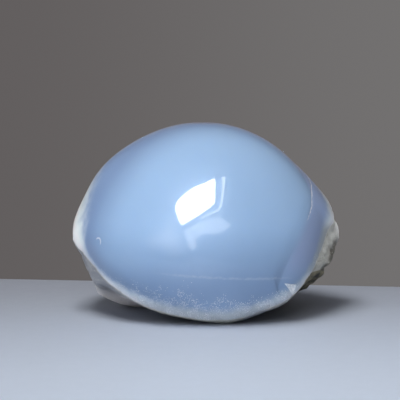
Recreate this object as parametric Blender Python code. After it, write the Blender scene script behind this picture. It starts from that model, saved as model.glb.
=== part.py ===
"""Blue chalcedony: one natural stone with a polished dome on a rough, unworked back.

Metres, +Z up. The stone rests on a small flat spot at z = 0, with its polished face
leaning up and towards -Y. X runs along its longest side.
"""

import math

import bmesh
import bpy
from mathutils import Vector, noise

MM = 0.001

NODE_NAME = "chalcedony"
COLLECTION_NAME = "blue_chalcedony"

# Polished face: a low spheroid whose rim plane leans back from the level
RIM_TILT = math.radians(37.0)
CENTRE_HEIGHT = 24.3 * MM
DOME_RADIUS = 37.3 * MM
DOME_HEIGHT = 31.6 * MM
DOME_LEAN = 0.08
LEAN_SCALE = 2.6
MARGIN_SPREAD = math.radians(9.0)

# Rim of the face: angle round it in degrees from +X, radius in millimetres
RIM = (
    (-174.3, 38.7), (-168.3, 37.9), (-160.8, 36.2), (-151.4, 35.3), (-141.0, 35.4),
    (-131.0, 35.5), (-119.0, 35.8), (-108.6, 36.3), (-97.0, 36.9), (-86.0, 38.0),
    (-76.0, 38.7), (-62.0, 38.5), (-52.0, 39.0), (-45.4, 38.7), (-37.0, 37.9),
    (-25.5, 37.2), (-17.0, 37.0), (-7.2, 37.5), (-1.9, 38.4), (3.1, 40.3),
    (10.0, 40.9), (25.0, 40.3), (45.0, 37.4), (62.0, 38.2), (80.0, 37.2),
    (100.0, 38.3), (118.0, 37.0), (135.0, 37.6), (152.0, 37.0), (166.0, 37.8),
)

# Second, steeper facet along the right side of the face: angle round the rim and
# the height angle of its upper edge, both in degrees
FACET_EDGE = (
    (-58.0, 3.0), (-50.3, 7.8), (-43.5, 12.8), (-32.5, 17.0), (-17.8, 19.0),
    (4.0, 18.0), (15.0, 19.5), (35.0, 20.0), (60.0, 20.0), (85.0, 12.0),
    (100.0, 4.0), (-130.0, 4.0), (160.0, 4.0),
)
FACET_START = (-58.0, -48.0)
FACET_END = (75.0, 98.0)
FACET_BULGE = 0.05

# Rough back: reach from the centre along each world direction
REACH_RIGHT = 42.8 * MM
REACH_LEFT = 36.6 * MM
REACH_FRONT = 34.0 * MM
REACH_BACK = 35.0 * MM
REACH_UP = 34.0 * MM
REACH_DOWN = 30.0 * MM
BACK_SQUARENESS = 2.6
UNDERCUT_SPREAD = math.radians(13.0)

# Broken flats of the back: heading from +X, slope above the level, distance in mm
FLATS = (
    (0.0, -62.0, 33.2), (5.0, -24.0, 40.9), (58.0, -48.0, 31.0), (48.0, -4.0, 37.0),
    (92.0, -34.0, 31.5), (92.0, -58.0, 28.2), (88.0, 14.0, 34.6), (128.0, -8.0, 35.0),
    (140.0, -50.0, 30.5), (163.0, -20.0, 36.4), (112.0, 34.0, 35.4), (66.0, 36.0, 35.6),
    (-90.0, -78.0, 26.7), (-125.0, -66.0, 26.4), (-35.0, -60.0, 30.0),
)
FLAT_BLEND = 1.6 * MM
LEAST_FACING = 0.2

# Ledge on the right, where the pale rind ends above the darker foot
LEDGE_DEPTH = 2.0 * MM
LEDGE_TOP = 13.6 * MM
LEDGE_BOTTOM = 11.6 * MM
LEDGE_HEADINGS = (-50.0, -25.0, 70.0, 105.0)

# Knob at the right end of the rim
KNOB_HEADING = 10.0
KNOB_SLOPE = -4.0
KNOB_SPREAD = math.radians(7.0)
KNOB_HEIGHT = 1.3 * MM

# Relief of the rough back: lumps, rounded bulbs and pits, bolder behind and worn
# low underneath
LUMP_SIZE = 13.0 * MM
LUMP_HEIGHT = 2.2 * MM
BULB_SIZE = 7.5 * MM
BULB_HEIGHT = 1.3 * MM
BULB_MIDDLE = 0.5
PIT_SIZE = 4.2 * MM
PIT_DEPTH = 0.7 * MM
RELIEF_FADE = math.radians(13.0)
BACK_BOLDNESS = 0.9
BACK_FACING = (0.25, 0.7)
UNDERSIDE_WEAR = 0.8
UNDERSIDE_STEEPNESS = (0.5, 0.8)

# Grid: cells along each edge of the cube that the stone is rounded from
GRID_CELLS = 28
CUBE_SIZE = 2.0
CLEAN_DISTANCE = 0.05 * MM
CUT_TOLERANCE = 1.0e-7
SHARP_ANGLE = math.radians(30.0)

STONE_COLOUR = (0.30, 0.42, 0.62, 1.0)
STONE_ROUGHNESS = 0.18

ACROSS = Vector((1.0, 0.0, 0.0))
UPHILL = Vector((0.0, math.cos(RIM_TILT), math.sin(RIM_TILT)))
OUTWARD = Vector((0.0, -math.sin(RIM_TILT), math.cos(RIM_TILT)))


def smooth_step(value, start, end):
    """Rise smoothly from 0 at start to 1 at end."""
    share = min(max((value - start) / (end - start), 0.0), 1.0)
    return share * share * (3.0 - 2.0 * share)


def soft_min(first, second, blend):
    """Return the smaller of two lengths, rounded where they are nearly equal."""
    closeness = max(blend - abs(first - second), 0.0) / blend
    return min(first, second) - closeness * closeness * blend / 4.0


def ring_value(points, angle):
    """Read a smooth closed curve through (angle, value) points, in degrees."""
    ring = sorted((turn % 360.0, value) for turn, value in points)
    count = len(ring)
    angle %= 360.0
    after = next((i for i in range(count) if ring[i][0] > angle), count)

    def knot(index):
        turns, place = divmod(index, count)
        return ring[place][0] + 360.0 * turns, ring[place][1]

    before, start, end, beyond = (knot(after + offset) for offset in (-2, -1, 0, 1))
    width = end[0] - start[0]
    slope_in = (end[1] - before[1]) / (end[0] - before[0]) * width
    slope_out = (beyond[1] - start[1]) / (beyond[0] - start[0]) * width
    t = (angle - start[0]) / width
    cubic = 2.0 * (start[1] - end[1]) + slope_in + slope_out
    square = 3.0 * (end[1] - start[1]) - 2.0 * slope_in - slope_out
    return ((cubic * t + square) * t + slope_in) * t + start[1]


def heading_vector(heading, slope):
    """Return the world direction with this compass heading and slope, in degrees."""
    turn = math.radians(heading)
    rise = math.radians(slope)
    level = math.cos(rise)
    return Vector((level * math.cos(turn), level * math.sin(turn), math.sin(rise)))


def dome_radius(height_angle):
    """Distance from the centre to the plain dome, at an angle above the rim plane."""
    along = math.cos(height_angle)
    above = math.sin(height_angle)
    spheroid = 1.0 / math.hypot(along / DOME_RADIUS, above / DOME_HEIGHT)
    return spheroid * (1.0 - DOME_LEAN * LEAN_SCALE * above * along * along)


def facet_radius(height_angle, rim_radius, edge_angle):
    """Distance to the side facet, a nearly straight face from its edge to the rim."""
    if height_angle >= edge_angle:
        return dome_radius(height_angle)
    top = dome_radius(edge_angle)
    run = rim_radius - top * math.cos(edge_angle)
    rise = top * math.sin(edge_angle)
    tangent = math.tan(height_angle)
    share = min(max(rim_radius * tangent / (rise + run * tangent), 0.0), 1.0)
    chord = math.hypot(rim_radius - share * run, share * rise)
    return chord * (1.0 + FACET_BULGE * share * (1.0 - share))


def face_radius(around, height_angle):
    """Distance to the polished face, with its margin drawn out to the rim."""
    rim_radius = ring_value(RIM, around) * MM
    plain = dome_radius(height_angle)
    margin = math.exp(-((height_angle / MARGIN_SPREAD) ** 2))
    flared = plain * (1.0 + (rim_radius / DOME_RADIUS - 1.0) * margin)
    facet_share = smooth_step(around, *FACET_START) * (1.0 - smooth_step(around, *FACET_END))
    if facet_share == 0.0:
        return flared
    edge_angle = math.radians(max(ring_value(FACET_EDGE, around), 1.0))
    faceted = facet_radius(height_angle, rim_radius, edge_angle)
    return flared + (faceted - flared) * facet_share


def bulk_radius(direction):
    """Distance to the rounded bulk of the rough back, along a world direction."""
    reach_x = REACH_RIGHT if direction.x > 0.0 else REACH_LEFT
    reach_y = REACH_BACK if direction.y > 0.0 else REACH_FRONT
    reach_z = REACH_UP if direction.z > 0.0 else REACH_DOWN
    shares = (direction.x / reach_x, direction.y / reach_y, direction.z / reach_z)
    return sum(abs(share) ** BACK_SQUARENESS for share in shares) ** (-1.0 / BACK_SQUARENESS)


def flat_radius(direction, radius):
    """Plane the bulk down to the broken flats."""
    for heading, slope, distance in FLATS:
        facing = direction.dot(heading_vector(heading, slope))
        if facing > LEAST_FACING:
            radius = soft_min(radius, distance * MM / facing, FLAT_BLEND)
    return radius


def ledge_share(direction, radius):
    """How far this place lies below the ledge on the right, from 0 to 1."""
    heading = math.degrees(math.atan2(direction.y, direction.x))
    start, full, fade, end = LEDGE_HEADINGS
    side = smooth_step(heading, start, full) * (1.0 - smooth_step(heading, fade, end))
    height = CENTRE_HEIGHT + radius * direction.z
    return side * (1.0 - smooth_step(height, LEDGE_BOTTOM, LEDGE_TOP))


def relief(direction, radius):
    """Height of the relief of the rough back at a place, worn low underneath."""
    place = direction * radius
    height = noise.noise(place / LUMP_SIZE) * LUMP_HEIGHT
    nearest = noise.voronoi(place / BULB_SIZE)[0][0]
    height += (BULB_MIDDLE - nearest) * BULB_HEIGHT
    height += min(noise.noise(place / PIT_SIZE), 0.0) * PIT_DEPTH
    height *= 1.0 + BACK_BOLDNESS * smooth_step(direction.y, *BACK_FACING)
    return height * (1.0 - UNDERSIDE_WEAR * smooth_step(-direction.z, *UNDERSIDE_STEEPNESS))


def rough_radius(around, depth_angle, direction):
    """Distance to the rough back, which starts at the rim and swells to the bulk."""
    rim_radius = ring_value(RIM, around) * MM
    radius = flat_radius(direction, bulk_radius(direction))
    radius -= LEDGE_DEPTH * ledge_share(direction, radius)
    knob_angle = direction.angle(heading_vector(KNOB_HEADING, KNOB_SLOPE))
    radius += KNOB_HEIGHT * math.exp(-((knob_angle / KNOB_SPREAD) ** 2))
    radius = rim_radius + (radius - rim_radius) * smooth_step(depth_angle, 0.0, UNDERCUT_SPREAD)
    return radius + relief(direction, radius) * smooth_step(depth_angle, 0.0, RELIEF_FADE)


def stone_point(corner):
    """Move a point of the cube of half-width 1 to its place on the stone."""
    spread = Vector(math.tan(value * math.pi / 4.0) for value in corner).normalized()
    direction = ACROSS * spread.x + UPHILL * spread.y + OUTWARD * spread.z
    around = math.degrees(math.atan2(spread.y, spread.x))
    height_angle = math.asin(min(max(spread.z, -1.0), 1.0))
    if height_angle >= 0.0:
        radius = face_radius(around, height_angle)
    else:
        radius = rough_radius(around, -height_angle, direction)
    return direction * radius + Vector((0.0, 0.0, CENTRE_HEIGHT))


def cut_flat_spot(bm):
    """Cut the stone off level at z = 0 and close it with one flat face."""
    geometry = bm.verts[:] + bm.edges[:] + bm.faces[:]
    bmesh.ops.bisect_plane(
        bm, geom=geometry, dist=CUT_TOLERANCE, plane_co=(0.0, 0.0, 0.0),
        plane_no=(0.0, 0.0, -1.0), clear_outer=True,
    )
    open_edges = [edge for edge in bm.edges if edge.is_boundary]
    bmesh.ops.contextual_create(bm, geom=open_edges)
    bmesh.ops.remove_doubles(bm, verts=bm.verts[:], dist=CLEAN_DISTANCE)


def centre_on_origin(bm):
    """Shift the stone so that the middle of its box stands over the origin."""
    for axis in (0, 1):
        places = [vert.co[axis] for vert in bm.verts]
        middle = (min(places) + max(places)) / 2.0
        for vert in bm.verts:
            vert.co[axis] -= middle


def make_material():
    """Milky blue stone, polished."""
    material = bpy.data.materials.new("milky_blue_stone")
    material.use_nodes = True
    shader = material.node_tree.nodes["Principled BSDF"]
    shader.inputs["Base Color"].default_value = STONE_COLOUR
    shader.inputs["Roughness"].default_value = STONE_ROUGHNESS
    shader.inputs["Metallic"].default_value = 0.0
    material.diffuse_color = STONE_COLOUR
    return material


def make_stone(collection):
    """Round a gridded cube into the stone, and cut its flat spot."""
    bm = bmesh.new()
    bmesh.ops.create_cube(bm, size=CUBE_SIZE)
    bmesh.ops.subdivide_edges(bm, edges=bm.edges[:], cuts=GRID_CELLS - 1, use_grid_fill=True)
    for vert in bm.verts:
        vert.co = stone_point(vert.co)
    cut_flat_spot(bm)
    centre_on_origin(bm)
    bmesh.ops.recalc_face_normals(bm, faces=bm.faces[:])
    mesh = bpy.data.meshes.new(NODE_NAME)
    bm.to_mesh(mesh)
    bm.free()
    mesh.shade_smooth()
    mesh.set_sharp_from_angle(angle=SHARP_ANGLE)
    mesh.materials.append(make_material())
    stone = bpy.data.objects.new(NODE_NAME, mesh)
    collection.objects.link(stone)
    return stone


def main():
    """Clear the scene and build the stone."""
    for old in list(bpy.data.objects):
        bpy.data.objects.remove(old, do_unlink=True)
    collection = bpy.data.collections.new(COLLECTION_NAME)
    bpy.context.scene.collection.children.link(collection)
    make_stone(collection)


main()
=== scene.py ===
"""A blue chalcedony nodule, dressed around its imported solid.

It is one natural stone: a polished milky-blue face with a frosted rim, on a rough,
unworked back with a thin pale rind and a little olive matrix. Metres, +Z up, the
face leaning towards -Y. Sizes of the stone and the studio are in millimetres, and
angles in degrees. Places and scales that a finish reads are in metres.
"""

import logging
import math
from collections.abc import Sequence
from dataclasses import dataclass, field
from enum import Enum
from functools import cached_property
from typing import Any

import bmesh
import bpy
import numpy as np
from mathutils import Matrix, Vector, noise


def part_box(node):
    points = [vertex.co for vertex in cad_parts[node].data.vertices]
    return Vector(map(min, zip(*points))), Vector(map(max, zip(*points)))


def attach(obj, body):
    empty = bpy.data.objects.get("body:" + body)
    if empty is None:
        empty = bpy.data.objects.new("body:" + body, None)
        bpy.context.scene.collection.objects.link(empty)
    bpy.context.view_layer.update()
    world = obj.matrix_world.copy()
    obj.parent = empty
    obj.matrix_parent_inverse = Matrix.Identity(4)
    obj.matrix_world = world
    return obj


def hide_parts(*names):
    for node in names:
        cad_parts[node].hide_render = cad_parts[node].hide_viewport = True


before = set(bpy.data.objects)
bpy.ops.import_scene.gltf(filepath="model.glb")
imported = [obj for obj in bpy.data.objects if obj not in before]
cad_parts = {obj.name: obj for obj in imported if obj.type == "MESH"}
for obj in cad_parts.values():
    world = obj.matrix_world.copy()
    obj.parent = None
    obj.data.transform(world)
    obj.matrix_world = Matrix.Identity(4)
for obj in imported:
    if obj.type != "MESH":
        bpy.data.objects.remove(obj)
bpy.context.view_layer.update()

log = logging.getLogger("blue_chalcedony")

MM = 0.001
NODE = "chalcedony"
BODY = "root"
REFRACTION = 1.54

Array = np.ndarray
Colour = tuple[float, float, float]
Corner = tuple[float, float, float]
Span = tuple[float, float]
Plateau = tuple[float, float, float, float]
Points = Sequence[tuple[float, float]]
Swellings = Sequence[tuple[Corner, float, float]]
Pieces = Sequence[bpy.types.Object]
Socket = bpy.types.NodeSocket
Value = Any


class Field(Enum):
    """Values that the stone's mesh carries at its points, for the materials."""

    HEIGHT = "height_angle"
    RIM_GAP = "rim_gap"
    MARGIN = "pale_margin"
    PALE_SHOW = "pale_show"
    SUGAR = "sugar"
    FACET = "facet"
    CREASE = "crease_gap"
    CREASE_SHOW = "crease_show"
    CHIP = "chip_gap"
    LOBE = "lobe"
    RIND = "rind"
    KNOB = "knob"
    SEAM = "seam"
    MATRIX = "matrix"
    RELIEF = "relief"


class Side(Enum):
    """Material slots of the stone's mesh."""

    POLISHED = 0
    ROUGH = 1
    LOBE = 2


class Subject(Enum):
    """What a lamp lights."""

    STONE = "stone"
    TABLE = "table"


# Numbers


def smooth_step(value: Array, start: float, end: float) -> Array:
    """Rise smoothly from 0 at start to 1 at end.

    Args:
        value: Where to read the step.
        start: Value at which the step leaves 0.
        end: Value at which it reaches 1.

    Returns:
        The step at each value.
    """
    share = np.clip((value - start) / (end - start), 0.0, 1.0)
    return share * share * (3.0 - 2.0 * share)


def smooth_fall(value: Array, start: float, end: float) -> Array:
    """Fall smoothly from 1 at start to 0 at end."""
    return 1.0 - smooth_step(value, start, end)


def plateau(value: Array, turns: Plateau) -> Array:
    """Rise to 1 between the first two of four values, and fall back between the last two."""
    start, full, fade, end = turns
    return smooth_step(value, start, full) * smooth_fall(value, fade, end)


def bell(value: Array, width: float) -> Array:
    """Return a smooth bump of height 1 at 0 that has faded by about twice its width."""
    return np.exp(-((value / width) ** 2))


def soft_min(first: Array, second: Array, blend: float) -> Array:
    """Return the smaller of two lengths, rounded where they are nearly equal.

    Args:
        first: One length at each point.
        second: The other length.
        blend: Difference below which the two are rounded into each other.

    Returns:
        The rounded minimum.
    """
    closeness = np.clip(blend - np.abs(first - second), 0.0, None) / blend
    return np.minimum(first, second) - closeness * closeness * blend / 4.0


def ring_value(points: Points, angle: Array) -> Array:
    """Read a smooth closed curve through (angle, value) points.

    Args:
        points: Angles in degrees and the values there.
        angle: Angles at which to read the curve.

    Returns:
        The value at each angle.
    """
    ring = sorted((turn % 360.0, value) for turn, value in points)
    turns = np.array([turn for turn, _ in ring])
    values = np.array([value for _, value in ring])
    knots = np.concatenate([turns - 360.0, turns, turns + 360.0])
    heights = np.tile(values, 3)
    angle = angle % 360.0
    at = np.searchsorted(knots, angle, side="right") - 1
    width = knots[at + 1] - knots[at]
    slope_in = (heights[at + 1] - heights[at - 1]) / (knots[at + 1] - knots[at - 1]) * width
    slope_out = (heights[at + 2] - heights[at]) / (knots[at + 2] - knots[at]) * width
    t = (angle - knots[at]) / width
    cubic = 2.0 * (heights[at] - heights[at + 1]) + slope_in + slope_out
    square = 3.0 * (heights[at + 1] - heights[at]) - 2.0 * slope_in - slope_out
    return ((cubic * t + square) * t + slope_in) * t + heights[at]


def heading_vector(heading: float, slope: float) -> Array:
    """Return the direction with a heading from +X towards +Y, and a slope.

    Args:
        heading: Turn about +Z.
        slope: Angle above the level.

    Returns:
        The unit direction.
    """
    turn, rise = math.radians(heading), math.radians(slope)
    level = math.cos(rise)
    return np.array([level * math.cos(turn), level * math.sin(turn), math.sin(rise)])


def angle_from(direction: Array, toward: Array) -> Array:
    """Return the angle between each unit direction and one other."""
    return np.degrees(np.arccos(np.clip(direction @ toward, -1.0, 1.0)))


def bulbs_at(places: Array, size: float) -> Array:
    """Return the distance to the nearest bulb's middle at each place, in bulb sizes."""
    return np.array([noise.voronoi(Vector(p))[0][0] for p in places / size])


@dataclass(frozen=True)
class Layer:
    """Smooth noise: the size of its lumps, its height, and a shift that makes it differ."""

    size: float
    height: float
    shift: float = 0.0

    def at(self, places: Array) -> Array:
        """Read the plain noise at each place, from about -1 to 1."""
        return np.array([noise.noise(Vector(p)) for p in places / self.size + self.shift])


# The stone


@dataclass(frozen=True)
class FaceSizes:
    """The polished face: a low spheroid with a steeper facet along its right side."""

    rim_tilt: float = 37.0
    centre_height: float = 24.3
    dome_radius: float = 37.3
    dome_height: float = 31.6
    dome_lean: float = 0.08
    lean_scale: float = 2.6
    margin_spread: float = 9.0
    rim: Points = (
        (-174.3, 38.7), (-168.3, 37.9), (-160.8, 36.2), (-151.4, 35.3), (-141.0, 35.4),
        (-131.0, 35.5), (-119.0, 35.8), (-108.6, 36.3), (-97.0, 36.9), (-86.0, 38.0),
        (-76.0, 38.7), (-62.0, 38.5), (-52.0, 39.0), (-45.4, 38.7), (-37.0, 37.9),
        (-25.5, 37.2), (-17.0, 37.0), (-7.2, 37.5), (-1.9, 38.4), (3.1, 40.3),
        (10.0, 40.9), (25.0, 40.3), (45.0, 37.4), (62.0, 38.2), (80.0, 37.2),
        (100.0, 38.3), (118.0, 37.0), (135.0, 37.6), (152.0, 37.0), (166.0, 37.8),
    )
    facet_edge: Points = (
        (-58.0, 3.0), (-50.3, 7.8), (-43.5, 12.8), (-32.5, 17.0), (-17.8, 19.0),
        (4.0, 18.0), (15.0, 19.5), (35.0, 20.0), (60.0, 20.0), (85.0, 12.0),
        (100.0, 4.0), (-130.0, 4.0), (160.0, 4.0),
    )
    facet_least_edge: float = 1.0
    facet_turns: Plateau = (-58.0, -48.0, 75.0, 98.0)
    facet_bulge: float = 0.05


@dataclass(frozen=True)
class BackSizes:
    """The rough back: its reach, flats, ledge, knob and relief, and where its kinds lie."""

    reach_right: float = 42.8
    reach_left: float = 36.6
    reach_front: float = 34.0
    reach_back: float = 35.0
    reach_up: float = 34.0
    reach_down: float = 30.0
    squareness: float = 2.6
    undercut_spread: float = 13.0
    flats: Sequence[Corner] = (
        (0.0, -62.0, 33.2), (5.0, -24.0, 40.9), (58.0, -48.0, 31.0), (48.0, -4.0, 37.0),
        (92.0, -34.0, 31.5), (92.0, -58.0, 28.2), (88.0, 14.0, 34.6), (128.0, -8.0, 35.0),
        (140.0, -50.0, 30.5), (163.0, -20.0, 36.4), (112.0, 34.0, 35.4), (66.0, 36.0, 35.6),
        (-90.0, -78.0, 26.7), (-125.0, -66.0, 26.4), (-35.0, -60.0, 30.0),
    )
    flat_blend: float = 1.6
    least_facing: float = 0.2
    ledge_depth: float = 2.0
    ledge_edge: Span = (11.6, 13.6)
    ledge_headings: Plateau = (-50.0, -25.0, 70.0, 105.0)
    knob_heading: float = 10.0
    knob_slope: float = -4.0
    knob_spread: float = 7.0
    knob_height: float = 1.3
    lumps: Layer = Layer(13.0, 2.2)
    bulb_size: float = 7.5
    bulb_height: float = 1.3
    bulb_middle: float = 0.5
    pits: Layer = Layer(4.2, 0.7)
    relief_fade: float = 13.0
    boldness: float = 0.9
    bold_facing: Span = (0.25, 0.7)
    underside_wear: float = 0.8
    underside_steepness: Span = (0.5, 0.8)
    lobe_left: Span = (0.25, 0.6)
    lobe_front: Span = (-0.1, 0.45)
    rind_right: Span = (0.45, 0.8)
    knob_tip_turn: float = 7.0
    knob_tip_gap: float = 5.4
    knob_tip_spread: Span = (4.2, 2.8)
    seam_gap: Plateau = (3.8, 5.4, 9.0, 13.0)
    seam_turns: Plateau = (-26.0, -17.0, -1.0, 3.0)


@dataclass(frozen=True)
class FineSizes:
    """Detail finer than the solid's: rim nicks, crease chips, grain and streaks."""

    nicks: Layer = Layer(2.1, 0.42, 5.7)
    nick_least: float = 0.05
    nick_spread: float = 0.9
    crumble: Layer = Layer(0.8, 0.12, 1.3)
    grain: Layer = Layer(2.3, 0.34, 7.3)
    small_grain: Layer = Layer(1.25, 0.16, 2.9)
    shards: Layer = Layer(3.6, 0.55, 9.4)
    streaks: Layer = Layer(1.0, 0.3, 4.1)
    streak_turns: float = 0.32
    streak_length: float = 11.0
    lobe_calm: float = 0.92
    middle: Span = (2.01026, 2.27945)
    box_inset: float = 0.02
    box_ease: float = 0.4
    swellings: Swellings = (
        ((0.64, -0.05, 0.77), 0.62, 30.0), ((-0.75, 0.05, 0.62), 0.3, 24.0),
        ((-0.86, 0.0, 0.5), 0.6, 14.0),
    )
    swelling_fade: float = 14.0
    back_touches: Swellings = (
        ((0.98, 0.19, -0.03), 0.45, 3.6), ((0.98, 0.0, -0.2), -0.8, 7.0),
        ((0.93, -0.1, -0.36), -0.8, 8.0), ((-0.97, -0.12, -0.2), -1.5, 9.0),
        ((-0.894, -0.07, -0.44), -1.7, 9.0), ((-0.74, -0.1, -0.67), 1.5, 10.0),
    )
    crease_depth: float = 0.1
    crease_spread: float = 0.5
    crease_round: float = 0.35
    crease_line: Points = (
        (-40.0, 18.5), (-21.4, 19.1), (-13.4, 18.5), (-6.3, 17.6), (1.4, 17.4),
        (9.6, 16.5), (17.7, 14.2), (30.0, 12.5), (90.0, 12.0), (180.0, 12.0),
    )
    crease_turns: Plateau = (-17.0, -9.0, 26.0, 38.0)


@dataclass(frozen=True)
class MarginSizes:
    """Widths of the pale margin and of the sugar-frosted strip round the rim."""

    pale_width: Points = (
        (-176.0, 13.6), (-170.0, 12.0), (-165.0, 9.6), (-161.0, 4.8), (-157.0, 2.8),
        (-148.0, 2.4), (-140.0, 3.0), (-128.0, 4.2), (-114.0, 4.6), (-98.0, 4.2),
        (-82.0, 4.0), (-68.0, 4.0), (-52.0, 3.8), (-38.0, 3.0), (-15.0, 4.2),
        (-2.0, 5.0), (6.0, 5.4), (14.0, 5.6), (30.0, 5.0), (60.0, 3.6),
        (90.0, 3.2), (120.0, 7.0), (142.0, 13.0), (154.0, 18.5), (166.0, 20.0),
        (175.0, 17.0),
    )
    pale_show: Points = (
        (-178.0, 1.0), (-166.0, 0.95), (-162.0, 0.65), (-157.0, 0.42), (-148.0, 0.4),
        (-140.0, 0.6), (-126.0, 0.6), (-112.0, 0.6), (-90.0, 0.64), (-70.0, 0.62),
        (-50.0, 0.56), (-30.0, 0.6), (0.0, 0.8), (60.0, 0.7), (110.0, 0.8), (150.0, 1.0),
    )
    pale_wander: Layer = Layer(2.6, 0.1, 3.3)
    sugar_width: Points = (
        (-175.0, 0.8), (-160.0, 1.0), (-150.0, 2.4), (-143.0, 5.0), (-130.0, 8.0),
        (-114.0, 9.0), (-98.0, 12.5), (-84.0, 10.5), (-74.0, 7.0), (-55.0, 4.6),
        (-38.0, 2.4), (-29.0, 1.2), (-24.0, 3.2), (-19.0, 0.9), (30.0, 0.7),
        (80.0, 0.8), (140.0, 0.8),
    )
    sugar_fade: Span = (0.2, 1.0)
    patches: Layer = Layer(6.5, 0.8, 8.2)
    patch_edge: Span = (-0.35, 0.3)
    patch_least: float = 0.2
    clusters: Layer = Layer(2.4, 0.75, 6.1)
    cluster_edge: Span = (-0.4, 0.35)
    cluster_least: float = 0.25
    facet_soft: Span = (3.2, 0.7)
    facet_soft_turns: Span = (-12.0, 8.0)
    facet_blur: Span = (-0.7, 0.7)
    facet_fade: Span = (9.0, 19.0)


@dataclass(frozen=True)
class ChipSizes:
    """The chipped triangle low on the right of the face, by its corners."""

    corners: Sequence[Corner] = ((22.0, -27.4, 11.2), (25.9, -24.2, 10.4), (24.6, -24.9, 6.9))
    reach: float = 3.0
    depth: float = 0.3
    edge: Span = (-0.6, 0.1)


def place_object(name: str, data: bpy.types.ID) -> bpy.types.Object:
    """Make an object from a mesh, lamp or camera, and put it in the scene."""
    made = bpy.data.objects.new(name, data)
    bpy.context.scene.collection.objects.link(made)
    return made


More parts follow.
